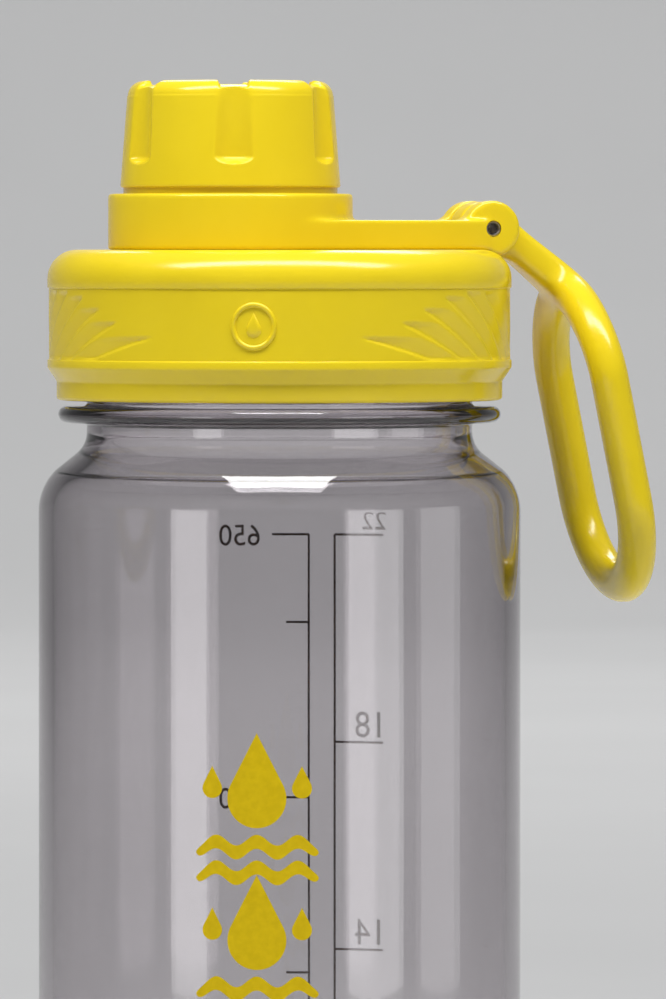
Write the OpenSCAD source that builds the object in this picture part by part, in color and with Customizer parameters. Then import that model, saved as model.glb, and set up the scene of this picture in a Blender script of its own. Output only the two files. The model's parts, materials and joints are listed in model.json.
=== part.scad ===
/* [Bottle body] */
// Outer diameter of the body
body_d = 73; // [72:0.5:74]
// Wall thickness of the body
body_wall = 2.3; // [2:0.1:2.5]
// Thickness of the floor
floor_t = 4.6; // [4:0.1:5]
// Radius of the rounded heel
heel_r = 10; // [9:0.5:11]
// Height of the domed push-up under the floor
pushup_h = 11; // [8:0.5:12]
// Height of the lip of the neck above the standing plane
lip_z = 225; // [224.8:0.1:225]
// Outer diameter of the neck
neck_d = 58.4; // [58:0.1:58.4]
// Wall thickness of the neck
neck_wall = 2.2; // [2:0.1:2.4]
// Outer diameter of the support ring under the lid
ring_d = 67; // [66:0.5:67.5]

/* [Lid] */
// Outer diameter of the lid's band
lid_d = 70.3; // [70:0.1:71]
// Outer diameter of the lid's skirt below the chamfer
skirt_d = 67.5; // [67.2:0.1:68]
// Height of the lid's lower edge
lid_bottom_z = 208.4; // [208:0.1:208.6]
// Height of the lid's deck
deck_z = 231.15; // [231:0.05:231.5]
// Radius of the lid's rounded top rim
rim_r = 4.5; // [3.5:0.5:4.5]
// Rise of the lid for one turn
lid_pitch = 4.5; // [4.2:0.1:4.8]
// Depth of the grip grooves
groove_depth = 0.4; // [0.3:0.05:0.5]

/* [Spout and cap] */
// Place of the spout's axis along X
spout_x = -7.7; // [-8:0.1:-7]
// Bore of the spout
spout_bore_d = 18; // [16:0.5:18]
// Height of the spout's lip
spout_top_z = 251.5; // [251:0.1:251.5]
// Outer diameter of the cap at its lower edge
cap_d = 33.3; // [33.2:0.1:34]
// Outer diameter of the cap at its top
cap_top_d = 30.9; // [30.6:0.1:31.2]
// Height of the cap's lower edge
cap_bottom_z = 240.5; // [240.3:0.1:241]
// Height of the cap's top
cap_top_z = 256.6; // [256.4:0.1:258]
// Number of finger scallops round the cap
scallops = 6; // [4:1:8]
// Rise of the cap for one turn
cap_pitch = 3; // [2.8:0.1:3.2]

/* [Carry arm and loop] */
// Outer diameter of the collar round the spout
collar_d = 37; // [36.6:0.2:38]
// Height of the collar's top edge
collar_top_z = 239.6; // [239.4:0.1:239.7]
// Height of the arm's top face
arm_top_z = 235.6; // [235:0.1:236]
// Distance of the hinge pin from the body's axis
hinge_x = 31.7; // [31.5:0.1:32]
// Height of the hinge pin
hinge_z = 234.3; // [234.2:0.1:234.5]
// Diameter of the hinge barrel
barrel_d = 8.54; // [8.4:0.02:8.6]
// Width of the hinge barrel
barrel_w = 14.3; // [13:0.1:15]
// Diameter of the hinge pin
pin_d = 2.5; // [2:0.1:3]
// Distance between the middles of the loop's legs
leg_gap = 28.2; // [26:0.2:31]
// Thickness of the loop's bar, front to back
bar_t = 5.8; // [5:0.1:6.4]
// Width of the loop's bar
bar_w = 6.6; // [5:0.1:7]

/* [Volume scale] */
// Height of the full line, 650 mL or 22 fluid ounces
full_z = 187; // [180:0.5:189]
// Height of 100 mL in the straight body
z_per_100_ml = 27.2; // [26.5:0.1:28]
// Thickness of the printed ink
ink_t = 0.08; // [0.05:0.01:0.15]

/* [Hidden] */
$fn = 96;
eps = 0.01;

// Colours
yellow = [0.93, 0.80, 0.16];
smoke = [0.62, 0.60, 0.62, 0.45];
natural = [0.93, 0.92, 0.88];
silicone = [0.85, 0.86, 0.87];
steel = [0.62, 0.62, 0.64];
brown_ink = [0.27, 0.17, 0.12];
yellow_ink = [0.90, 0.75, 0.15];

// Body
body_r = body_d / 2;
body_in_r = body_r - body_wall;
neck_r = neck_d / 2;
neck_in_r = neck_r - neck_wall;
stand_r = body_r - heel_r;      // outer edge of the flat standing ring
stand_w = 3;                    // width of the standing ring
shoulder_z = 191;               // top of the straight body
neck_foot_z = 203.5;            // where the shoulder meets the neck
ring_z0 = 205;
ring_z1 = 207.5;

// Neck thread, on one right-handed helix with the liner's thread
neck_thread_z = 213.5;
neck_thread_out = 1.4;
neck_thread_turns = 2;

// Lid
lid_r = lid_d / 2;
skirt_r = skirt_d / 2;
skirt_top_z = 211.3;
chamfer_top_z = 213.2;
deck_t = 2.55;
shell_in_r = 32.3;
liner_r = 32.2;
liner_bore_r = 30.9;
liner_bottom_z = 209.2;
plate_z0 = 226.7;
plate_z1 = deck_z - deck_t;
plug_r1 = neck_in_r - 0.4;
plug_r0 = plug_r1 - 1.1;
plug_bottom_z = 223.4;
gasket_gap = 0.05;
flank_gap = 1.6;                // liner's thread below the neck's thread
thread_root = 0.45;             // depth that a female ridge is rooted in its wall

// Spout
spout_bore_r = spout_bore_d / 2;
spout_r = 10.6;
spout_base_r = 10.9;
spout_bead_r = 11.6;
bead_z0 = 238.7;
bead_z1 = 239.4;
cap_thread_z = 242.6;
cap_thread_out = 0.8;
cap_flank_gap = 1.3;

// Cap
cap_r = cap_d / 2;
cap_top_r = cap_top_d / 2;
cap_foot_r = 16.2;              // lower end of the cap, inside the collar's recess
cap_foot_z = 239;
cap_liner_r = 13.1;
cap_liner_bore_r = 11.7;
cap_liner_bottom_z = 241;
cap_shell_in_r = 13.2;
cap_ceiling_z = 254.8;
cap_plate_z = 253.2;
cap_edge_r = 2.4;
scallop_depth = 0.8;            // depth at the cap's top; the wall below it is upright
scallop_z = 243.9;
scallop_end = 1.6;              // height of the rounded foot of a scallop
scallop_phase = 16.6;
cap_recess = 0.8;               // depth of the cap's top inside its rim
cap_rim_in_r = 12.8;
notch_w = 4.4;                  // width of the gap in the rim over each scallop
notch_depth = 0.65;
scallop_r = 3.4;

// Collar, arm and hinge
collar_r = collar_d / 2;
collar_in_r = 16.6;
collar_bore_r = 11.1;
collar_boss_r = 12.9;
web_z0 = 236.2;
web_z1 = 238.5;
barrel_r = barrel_d / 2;
slot_half_w = 3.4;
knuckle_half_w = 3.1;
knuckle_r = 4.2;
slot_relief_r = 6.3;
rim_notch_r = barrel_r + 0.33;
rim_notch_half_w = barrel_w / 2 + 0.35;
arm_wall = 1.8;
pin_r = pin_d / 2;
pin_bore_r = 0.75;
pin_half_l = barrel_w / 2 - 0.1;
press = 0.02;
running = 0.05;

// Loop, in the hinge's own frame: X away from the lid, Z up
loop_top = -9.5;                // height of the middle of the upper bar
loop_bottom = -53.9;            // height of the middle of the lower bar
loop_top_x = 13.6;              // place of the middle of the upper bar
loop_slope = 11.4;              // lean of the loop from the upright
arch_rise = 13;                 // height of the arches at its two ends
upper_power = 1.75;             // roundness of the upper arch: 2 is an ellipse, less is more pointed
loop_rings = 56;
loop_sides = 12;
neck_angle = 41.6;              // slope of the loop's neck below level
neck_under = 0.6;               // distance of the neck's underside from the pin
neck_over = 4.2;                // distance of its outer face from the pin
stop_under = 1.7;               // the same for the stop rib, which rests on the lid's rim
stop_half_w = 2.2;

// Prints, with their angles round the body
ml_angle = 66.8;
oz_angle = 60.1;
motif_angle = -111;
panel_angle = -112;
line_w = 0.35;
scale_bottom_z = 34;

// Points along an arc
function arc(centre, r, from, to, steps = 10) =
    [for (i = [0:steps]) let (a = from + (to - from) * i / steps) centre + r * [cos(a), sin(a)]];

// Grip grooves: foot of each from its panel's middle in degrees, and its height
grooves = [[48, 3], [58.3, 5], [66, 7], [73.6, 9], [80.5, 9.5], [86.5, 9.5]];
groove_foot_z = 214.8;
groove_pole = 33.7;             // place that the grooves lean towards, in degrees
groove_lean = 89;
function groove_angle(foot, h) = foot - groove_lean / (foot - groove_pole) * h * (0.88 + 0.016 * h);

// Place of the loop's middle sheet at a height z, both from the pin
function loop_x(z) = loop_top_x + (loop_top - z) * tan(loop_slope);

// Half width of the loop at a height z, by the roundness of its two arches
function arch(t, power) = (1 - min(1, t) ^ power) ^ (1 / power);
function loop_y(z) = leg_gap / 2 *
    (z > loop_top - arch_rise ? arch((z - loop_top + arch_rise) / arch_rise, upper_power)
     : z < loop_bottom + arch_rise ? arch((loop_bottom + arch_rise - z) / arch_rise, 2) : 1);

// Height on the loop's half path at a step a: 0 to 90 upper arch, to 180 leg, to 270 lower arch
function loop_z(a) = a < 90 ? loop_top - arch_rise * (1 - cos(a))
    : a > 180 ? loop_bottom + arch_rise * (1 + cos(a - 90))
    : loop_top - arch_rise - (loop_top - loop_bottom - 2 * arch_rise) * (a - 90) / 90;
function half_path(a) = let (z = loop_z(a)) [loop_x(z), loop_y(z), z];
function unit(v) = v / norm(v);

// A ridge along a right-handed helix: its section has width w_in at r_in and w_out at r_out
module helix_ridge(r_in, r_out, w_in, w_out, pitch, z_ref, from, to, male) {
    steps = ceil((to - from) / 15);
    run_out = 60;
    points = [
        for (i = [0:steps])
            let (a = from + (to - from) * i / steps,
                 k = min(1, 0.25 + min(a - from, to - a) / run_out),
                 ri = male ? r_in : r_out - (r_out - r_in) * k,
                 ro = male ? r_in + (r_out - r_in) * k : r_out,
                 z = z_ref + pitch * a / 360)
            each [[ri * cos(a), ri * sin(a), z - w_in / 2],
                  [ro * cos(a), ro * sin(a), z - w_out / 2],
                  [ro * cos(a), ro * sin(a), z + w_out / 2],
                  [ri * cos(a), ri * sin(a), z + w_in / 2]]];
    sides = [
        for (i = [0:steps - 1], j = [0:3])
            let (a = 4 * i + j, b = 4 * i + (j + 1) % 4)
            each [[a, b, b + 4], [a, b + 4, a + 4]]];
    last = 4 * steps;
    ends = [[3, 2, 1], [3, 1, 0], [last, last + 1, last + 2], [last, last + 2, last + 3]];
    polyhedron(points, concat(sides, ends), convexity = 6);
}

// A cylinder along Y, centred on the hinge
module along_y(r, half_l) {
    rotate([90, 0, 0]) cylinder(r = r, h = 2 * half_l, center = true);
}

// Outside of the body in half section, from the middle of the push-up to the lip
module body_outline() {
    dome_r = ((stand_r - stand_w) ^ 2 + pushup_h ^ 2) / (2 * pushup_h);
    dome_a = asin((stand_r - stand_w) / dome_r);
    polygon(concat(
        arc([0, pushup_h - dome_r], dome_r, 90, 90 - dome_a),
        arc([stand_r, heel_r], heel_r, -90, 0),
        [[body_r, shoulder_z]],
        arc([body_r - 9, shoulder_z + 0.5], 9, 0, 44),
        arc([neck_r + 4.2, neck_foot_z + 0.1], 4.2, 230, 180, 6),
        [[neck_r, ring_z0 - 0.4], [neck_r + 0.4, ring_z0]],
        arc([ring_d / 2 - 1.25, (ring_z0 + ring_z1) / 2], 1.25, -90, 90, 8),
        [[neck_r + 0.4, ring_z1], [neck_r, ring_z1 + 0.4], [neck_r, lip_z - 0.6],
         [neck_r - 0.6, lip_z], [0, lip_z]]));
}

// Inside of the body in half section
module body_hollow_outline() {
    dome_in_r = ((stand_r - stand_w) ^ 2 + pushup_h ^ 2) / (2 * pushup_h) + floor_t;
    heel_in_r = heel_r - body_wall;
    in_a = asin((stand_r - 1) / dome_in_r);
    polygon(concat(
        [[0, lip_z + 1], [0, floor_t + pushup_h]],
        arc([0, pushup_h + floor_t - dome_in_r], dome_in_r, 90, 90 - in_a),
        arc([body_in_r - heel_in_r, floor_t + 1 + heel_in_r], heel_in_r, -90, 0),
        [[body_in_r, shoulder_z]],
        arc([body_r - 9, shoulder_z + 0.5], 9 - body_wall, 0, 44),
        arc([neck_in_r + 4.2, neck_foot_z - 1.4], 4.2, 228, 180, 6),
        [[neck_in_r, lip_z - 0.4], [neck_in_r + 0.4, lip_z + 1]]));
}

module bottle_body() {
    color(smoke) union() {
        difference() {
            rotate_extrude() body_outline();
            rotate_extrude() body_hollow_outline();
        }
        helix_ridge(neck_r - 0.3, neck_r + neck_thread_out, 2, 1, lid_pitch,
                    neck_thread_z, 0, 360 * neck_thread_turns, true);
    }
}

// Ink on the body: a drawing stood upright at an angle and wrapped on the surface
module ink(angle) {
    intersection() {
        translate([0, 0, scale_bottom_z - 1]) cylinder(r = body_r + ink_t, h = full_z - scale_bottom_z + 2);
        difference() {
            rotate([0, 0, angle + 90]) translate([0, -body_r + 2, 0]) rotate([90, 0, 0])
                linear_extrude(4) children();
            cylinder(r = body_r, h = lip_z);
        }
    }
}

function ml_z(ml) = full_z - (650 - ml) / 100 * z_per_100_ml;
function oz_z(oz) = ml_z(oz * 650 / 22);

// Drawing of a scale's upright line
module scale_line() {
    translate([-line_w / 2, scale_bottom_z]) square([line_w, full_z - scale_bottom_z]);
}

// Drawing of a tick, to the right of the line or to its left
module tick(z, length, left = false) {
    translate([left ? -length : 0, z - line_w / 2]) square([length, line_w]);
}

module ml_scale_print() {
    color(brown_ink) ink(ml_angle) {
        scale_line();
        tick(full_z, 6);
        for (ml = [100:100:600]) tick(ml_z(ml), ml % 200 == 0 ? 3.7 : 6);
    }
}

module oz_scale_print() {
    color(brown_ink) ink(oz_angle) {
        scale_line();
        for (oz = [6:4:22]) tick(oz_z(oz), 8.4, true);
    }
}

// A water drop, its round end at the origin and its tip 2.2 radii above
module drop(r) {
    side_a = asin(1 / 2.2);
    polygon(concat(arc([0, 0], r, 180 - side_a, 360 + side_a, 14), [[0, 2.2 * r]]));
}

// Water drops down the front, large and small in turn
module front_print() {
    first_z = 148;
    drop_step = 16;
    color(yellow_ink) ink(motif_angle)
        for (i = [0:6]) translate([0, first_z - i * drop_step]) drop(i % 2 == 0 ? 4.2 : 2.4);
}

module lid_gasket() {
    color(silicone) rotate_extrude()
        translate([neck_in_r + 0.2, lip_z + gasket_gap])
            square([liner_bore_r - neck_in_r - 0.6, plate_z0 - lip_z - 2 * gasket_gap]);
}

// One grip groove: a straight slot at a tangent to the band, leaning to one side
module grip_groove(foot, top_h, side) {
    groove_w = 1.7;
    cut_t = 2;
    top = groove_angle(foot, top_h);
    run = lid_r * (foot - top) * PI / 180;
    rotate([0, 0, side * (foot + top) / 2])
        translate([lid_r - groove_depth + cut_t / 2, 0, groove_foot_z + top_h / 2])
            rotate([side * atan(run / top_h), 0, 0])
                cube([cut_t, groove_w, norm([run, top_h])], center = true);
}

// Raised ring with a water drop, lying flat at the origin
module emblem() {
    ring_out = 3.5;
    ring_in = 2.9;
    difference() {
        circle(ring_out);
        circle(ring_in);
    }
    translate([0, -0.5]) drop(1.2);
}

module lid_shell() {
    emblem_z = 219.8;
    emblem_rise = 0.3;
    color(yellow) union() {
        difference() {
            rotate_extrude() polygon(concat(
                [[shell_in_r, lid_bottom_z], [skirt_r - 0.4, lid_bottom_z],
                 [skirt_r, lid_bottom_z + 0.4], [skirt_r, skirt_top_z], [lid_r, chamfer_top_z]],
                arc([lid_r - rim_r, deck_z - rim_r], rim_r, 0, 90, 8),
                [[0, deck_z], [0, plate_z1], [shell_in_r, plate_z1]]));
            translate([spout_x, 0, plate_z1 - 1]) cylinder(r = collar_bore_r, h = deck_t + 2);
            translate([hinge_x, 0, hinge_z]) along_y(rim_notch_r, rim_notch_half_w);
            for (panel = [panel_angle, panel_angle + 180], side = [-1, 1], groove = grooves)
                rotate([0, 0, panel]) grip_groove(groove[0], groove[1], side);
        }
        for (panel = [panel_angle, panel_angle + 180]) intersection() {
            rotate_extrude() translate([lid_r - 0.5, emblem_z - 5])
                square([0.5 + emblem_rise, 10]);
            rotate([0, 0, panel + 90]) translate([0, -lid_r + 3, emblem_z])
                rotate([90, 0, 0]) linear_extrude(5) emblem();
        }
    }
}

module lid_liner() {
    color(natural) union() {
        rotate_extrude() polygon([
            [liner_bore_r, liner_bottom_z], [liner_r, liner_bottom_z], [liner_r, plate_z1],
            [22, plate_z1], [22, plate_z0], [plug_r0, plate_z0], [plug_r0, plug_bottom_z],
            [plug_r1 - 0.3, plug_bottom_z], [plug_r1, plug_bottom_z + 0.6], [plug_r1, plate_z0],
            [liner_bore_r, plate_z0]]);
        difference() {
            union() {
                translate([0, 0, plate_z0]) cylinder(r = 22.5, h = plate_z1 - plate_z0);
                translate([spout_x, 0, plate_z0]) rotate_extrude() polygon([
                    [0, 0], [spout_base_r, 0], [spout_base_r, bead_z0 - plate_z0],
                    [spout_bead_r, bead_z0 + 0.3 - plate_z0], [spout_bead_r, bead_z1 - plate_z0],
                    [spout_r, bead_z1 + 0.6 - plate_z0], [spout_r, spout_top_z - 0.5 - plate_z0],
                    [spout_r - 0.5, spout_top_z - plate_z0], [0, spout_top_z - plate_z0]]);
            }
            translate([spout_x, 0, plate_z0 - 1])
                cylinder(r = spout_bore_r, h = spout_top_z - plate_z0 + 2);
        }
        helix_ridge(liner_bore_r - 1, liner_bore_r + thread_root, 1, 2, lid_pitch,
                    neck_thread_z - flank_gap, 60, 690, false);
        translate([spout_x, 0, 0])
            helix_ridge(spout_r - 0.25, spout_r + cap_thread_out, 1.4, 0.6, cap_pitch,
                        cap_thread_z, 0, 720, true);
    }
}

// Plan of the arm: straight sides from the collar's circle to the hinge barrel, drawn in by a margin
module arm_plan(margin) {
    span = hinge_x - spout_x;
    half_w = barrel_w / 2 - margin;
    r = collar_r - margin;
    lean = asin((r - half_w) / span);
    polygon([[r * sin(lean), r * cos(lean)], [span, half_w], [span, -half_w],
             [r * sin(lean), -r * cos(lean)]]);
}

module carry_arm() {
    color(yellow) difference() {
        union() {
            translate([spout_x, 0, 0]) {
                translate([0, 0, deck_z]) cylinder(r = collar_r, h = collar_top_z - deck_z);
                translate([0, 0, deck_z]) linear_extrude(arm_top_z - deck_z) arm_plan(0);
            }
            translate([hinge_x, 0, hinge_z]) along_y(barrel_r, barrel_w / 2);
        }
        translate([spout_x, 0, 0]) {
            translate([0, 0, deck_z - 1]) cylinder(r = collar_bore_r, h = 20);
            translate([0, 0, web_z1]) cylinder(r = collar_in_r, h = 5);
            translate([0, 0, deck_z - 1]) difference() {
                cylinder(r = collar_in_r, h = web_z0 - deck_z + 1);
                translate([0, 0, -1]) cylinder(r = collar_boss_r, h = web_z0 - deck_z + 3);
            }
            translate([0, 0, deck_z - 1]) difference() {
                linear_extrude(arm_top_z - deck_z + 1 - arm_wall) arm_plan(arm_wall);
                translate([0, 0, -1]) cylinder(r = collar_r, h = 10);
                translate([hinge_x - spout_x - 8, -20, -1]) cube([20, 40, 10]);
            }
        }
        translate([hinge_x, 0, hinge_z]) {
            along_y(slot_relief_r, slot_half_w);
            translate([0, -slot_half_w, -10]) cube([10, 2 * slot_half_w, 20]);
            along_y(pin_r - press, barrel_w);
        }
    }
}

module hinge_pin() {
    color(steel) translate([hinge_x, 0, hinge_z]) difference() {
        along_y(pin_r, pin_half_l);
        along_y(pin_bore_r, pin_half_l + 1);
    }
}

// The loop's bar, an oval section swept round its closed path
module loop_bar() {
    n = loop_rings;
    half = n / 2;
    outward = [cos(loop_slope), 0, sin(loop_slope)];
    path = [for (i = [0:n - 1]) let (p = half_path(270 * min(i, n - i) / half))
        i <= half ? p : [p[0], -p[1], p[2]]];
    rings = [
        for (i = [0:n - 1])
            let (along = unit(path[(i + 1) % n] - path[(i + n - 1) % n]),
                 across = cross(along, outward))
            for (j = [0:loop_sides - 1])
                let (a = 360 * j / loop_sides)
                path[i] + bar_t / 2 * cos(a) * outward + bar_w / 2 * sin(a) * across];
    faces = [
        for (i = [0:n - 1], j = [0:loop_sides - 1])
            let (a = i * loop_sides + j, b = i * loop_sides + (j + 1) % loop_sides,
                 c = ((i + 1) % n) * loop_sides + (j + 1) % loop_sides,
                 d = ((i + 1) % n) * loop_sides + j)
            each [[a, c, b], [a, d, c]]];
    polyhedron(rings, faces, convexity = 8);
}

// The neck from the knuckle to the upper bar, with the stop rib under it
module loop_neck() {
    neck_t = neck_over + neck_under;
    joint_x = 16.5;
    joint_half_w = 7.5;
    rotate([0, neck_angle, 0]) {
        translate([0, -knuckle_half_w, -neck_under]) cube([12, 2 * knuckle_half_w, neck_t]);
        translate([0, -stop_half_w, -stop_under]) cube([5.5, 2 * stop_half_w, 3]);
        hull() {
            translate([7, -knuckle_half_w, -neck_under]) cube([eps, 2 * knuckle_half_w, neck_t]);
            translate([joint_x, 0, (neck_over - neck_under) / 2]) rotate([90, 0, 0])
                cylinder(r = neck_t / 2, h = 2 * joint_half_w, center = true, $fn = 24);
        }
    }
}

module carry_loop() {
    color(yellow) translate([hinge_x, 0, hinge_z]) difference() {
        union() {
            along_y(knuckle_r, knuckle_half_w);
            loop_bar();
            loop_neck();
        }
        along_y(pin_r + running, 10);
    }
}

module cap_gasket() {
    color(silicone) translate([spout_x, 0, spout_top_z + gasket_gap]) difference() {
        cylinder(r = cap_liner_bore_r - 0.2, h = cap_plate_z - spout_top_z - 2 * gasket_gap);
        translate([0, 0, -1]) cylinder(r = 8, h = 5);
    }
}

module cap_shell() {
    color(yellow) translate([spout_x, 0, 0]) difference() {
        rotate_extrude() polygon(concat(
            [[0, cap_foot_z], [cap_foot_r, cap_foot_z], [cap_foot_r, cap_bottom_z],
             [cap_r - 0.3, cap_bottom_z], [cap_r, cap_bottom_z + 0.3]],
            arc([cap_top_r - cap_edge_r + 0.1, cap_top_z - cap_edge_r], cap_edge_r, 5, 90, 8),
            [[0, cap_top_z]]));
        translate([0, 0, cap_foot_z - 1])
            cylinder(r = cap_shell_in_r, h = cap_ceiling_z - cap_foot_z + 1);
        translate([0, 0, cap_top_z - cap_recess]) cylinder(r = cap_rim_in_r, h = 2);
        for (i = [0:scallops - 1])
            rotate([0, 0, scallop_phase + i * 360 / scallops]) {
                translate([cap_top_r - scallop_depth + scallop_r, 0, scallop_z + scallop_end]) {
                    scale([1, 1, scallop_end / scallop_r]) sphere(r = scallop_r);
                    cylinder(r = scallop_r, h = 20);
                }
                translate([cap_rim_in_r - 1, -notch_w / 2, cap_top_z - notch_depth])
                    cube([6, notch_w, 2]);
            }
    }
}

module cap_liner() {
    color(natural) translate([spout_x, 0, 0]) union() {
        difference() {
            translate([0, 0, cap_liner_bottom_z])
                cylinder(r = cap_liner_r, h = cap_ceiling_z - cap_liner_bottom_z);
            translate([0, 0, cap_liner_bottom_z - 1])
                cylinder(r = cap_liner_bore_r, h = cap_plate_z - cap_liner_bottom_z + 1);
        }
        helix_ridge(cap_liner_bore_r - 0.7, cap_liner_bore_r + 0.3, 0.6, 1.4, cap_pitch,
                    cap_thread_z - cap_flank_gap, 240, 780, false);
    }
}

bottle_body();
ml_scale_print();
oz_scale_print();
front_print();
lid_gasket();
lid_shell();
lid_liner();
carry_arm();
hinge_pin();
carry_loop();
cap_gasket();
cap_shell();
cap_liner();
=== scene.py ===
"""Looks of a kids water bottle with a carry loop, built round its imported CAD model."""
import json
import math

import bmesh
import bpy
import numpy as np
from mathutils import Matrix, Vector

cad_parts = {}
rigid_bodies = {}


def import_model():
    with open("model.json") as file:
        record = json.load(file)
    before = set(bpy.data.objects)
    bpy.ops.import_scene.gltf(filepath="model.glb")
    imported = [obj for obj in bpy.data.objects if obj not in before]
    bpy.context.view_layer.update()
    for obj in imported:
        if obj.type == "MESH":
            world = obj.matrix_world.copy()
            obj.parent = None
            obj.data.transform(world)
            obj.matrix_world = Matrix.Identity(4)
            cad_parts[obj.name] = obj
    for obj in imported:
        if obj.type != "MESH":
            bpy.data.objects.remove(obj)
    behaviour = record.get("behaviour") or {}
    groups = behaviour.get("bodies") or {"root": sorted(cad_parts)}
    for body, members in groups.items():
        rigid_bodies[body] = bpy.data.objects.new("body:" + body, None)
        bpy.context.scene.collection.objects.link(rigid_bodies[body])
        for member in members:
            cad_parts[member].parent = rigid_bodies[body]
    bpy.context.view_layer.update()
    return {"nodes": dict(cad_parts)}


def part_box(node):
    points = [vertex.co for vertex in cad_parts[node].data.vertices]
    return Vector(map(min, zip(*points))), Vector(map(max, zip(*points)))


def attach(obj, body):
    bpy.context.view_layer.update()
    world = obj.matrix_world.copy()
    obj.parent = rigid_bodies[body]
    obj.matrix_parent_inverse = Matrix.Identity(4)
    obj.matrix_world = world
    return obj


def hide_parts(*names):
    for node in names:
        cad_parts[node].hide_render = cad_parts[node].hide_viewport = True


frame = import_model()
nodes = frame["nodes"]
MM = 0.001


# ---------------------------------------------------------------- sizes, in mm, from the frame
def mm_box(node):
    """The lower and upper corner of a CAD node's box."""
    low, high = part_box(node)
    return low / MM, high / MM


body_high = mm_box("bottle_body")[1]
lid_low, lid_high = mm_box("lid_shell")
arm_high = mm_box("carry_arm")[1]
pin_low, pin_high = mm_box("hinge_pin")
cap_low, cap_high = mm_box("cap_shell")

BODY_R = body_high.x
BODY_WALL = 2.3
LIP_Z = body_high.z
HEEL_R = 10
PUSHUP_H = 11
FLOOR_T = 4.6
STAND_R = BODY_R - HEEL_R
STAND_W = 3
SHOULDER_Z = 191
SHOULDER_R = 9
NECK_R = 29.2
NECK_WALL = 2.2
NECK_FOOT_Z = 203.5
NECK_FILLET_R = 4.2             # between the shoulder and the neck
SHOULDER_SWEEP = 44             # degrees of the shoulder's outer curve
RING_R = 33.5
RING_Z = (205, 207.5)
RING_EDGE_R = 1.25
NECK_THREAD = dict(z=213.5, pitch=4.5, out=1.4, base=1.0, crest=0.5, turns=(0, 2))

LID_R = lid_high.x
LID_Z0 = lid_low.z
DECK_Z = lid_high.z
SKIRT_R = 33.75
RIM_R = 4.5
BAND_Z = (214.6, 225.3)
SHELL_IN_R = 32.3
DECK_T = 2.55

SPOUT_X = (cap_low.x + cap_high.x) / 2
CAP_R = cap_high.y
CAP_TOP_R = 15.45
CAP_TOP_Z = cap_high.z
CAP_FOOT_Z = cap_low.z
CAP_BOTTOM_Z = 240.5

COLLAR_R = arm_high.y
COLLAR_TOP_Z = arm_high.z
ARM_TOP_Z = 235.6
HINGE = Vector(((pin_low.x + pin_high.x) / 2, 0, (pin_low.z + pin_high.z) / 2))
BARREL_R = arm_high.x - HINGE.x
BARREL_HALF_W = 7.15
SLOT_HALF_W = 3.4
SLOT_R = 6.3
COLLAR_BORE_R = 11.1
PIN_R = (pin_high.z - pin_low.z) / 2

ML_ANGLE = 66.8
OZ_ANGLE = 60.1
MOTIF_ANGLE = -111
PANEL_ANGLE = -112
INK_T = 0.08
DROP_TIP = 2.2                  # height of a drop's tip, in radii
FULL_Z = 187
FULL_ML, FULL_OZ = 650, 22
Z_PER_ML = 0.272
DIGIT_H = 0.73                  # height of a digit of the built-in typeface, in sizes


# ---------------------------------------------------------------- mesh helpers, in mm
def arc(centre, radius, start, stop, steps=10):
    angles = np.radians(np.linspace(start, stop, steps + 1))
    return [(centre[0] + radius * math.cos(a), centre[1] + radius * math.sin(a)) for a in angles]


def line(start, stop, step):
    """Points from start to stop, both included, no further apart than a step."""
    count = max(1, math.ceil(math.dist(start, stop) / step))
    return [tuple(np.array(start) + (np.array(stop) - np.array(start)) * i / count)
            for i in range(count + 1)]


def smooth_step(x):
    x = np.clip(x, 0, 1)
    return x * x * (3 - 2 * x)


def revolve(outline, segments=240, relief=None, centre_x=0.0, sink=None):
    """Turns a closed outline of (r, z) about an upright axis. relief(angle, r, z) gives the new r,
    and sink(angle, r, z) the new z."""
    outline = np.array(outline, float)
    angles = np.linspace(0, 2 * math.pi, segments, endpoint=False)[:, None]
    radii = np.repeat(outline[None, :, 0], segments, 0)
    heights = np.repeat(outline[None, :, 1], segments, 0)
    turned = np.repeat(angles, len(outline), 1)
    if relief:
        radii = relief(turned, radii, heights)
    if sink:
        heights = sink(turned, radii, heights)
    verts = np.stack([centre_x + radii * np.cos(angles), radii * np.sin(angles), heights], -1)
    index = np.arange(segments * len(outline)).reshape(segments, -1)
    for pole in np.flatnonzero(outline[:, 0] < 1e-6):
        index[:, pole] = index[0, pole]
    faces = []
    for i in range(segments):
        a, b = index[i], index[(i + 1) % segments]
        for j in range(len(outline)):
            k = (j + 1) % len(outline)
            corners = list(dict.fromkeys([a[j], b[j], b[k], a[k]]))
            if len(corners) > 2:
                faces.append(corners)
    return verts.reshape(-1, 3), faces


def loft(rings, closed=False):
    """Joins rings of points into a skin: closed on itself, or with its two ends filled."""
    count, sides = len(rings), len(rings[0])
    faces = [[i * sides + j, i * sides + (j + 1) % sides,
              (i + 1) % count * sides + (j + 1) % sides, (i + 1) % count * sides + j]
             for i in range(count if closed else count - 1) for j in range(sides)]
    if not closed:
        faces += [list(range(sides))[::-1], list(range((count - 1) * sides, count * sides))]
    return np.concatenate(rings), faces


def prism(points, start, stop, axes="xyz"):
    """A polygon drawn on the first two axes, drawn out along the third."""
    order = ["xyz".index(a) for a in axes]
    rings = []
    for height in (start, stop):
        ring = np.zeros((len(points), 3))
        ring[:, order[0]], ring[:, order[1]] = np.array(points).T
        ring[:, order[2]] = height
        rings.append(ring)
    return loft(rings)


def cylinder(radius, start, stop, centre=(0, 0), axes="xyz", sides=96):
    return prism(arc(centre, radius, 0, 360 - 360 / sides, sides - 1), start, stop, axes)


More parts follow.
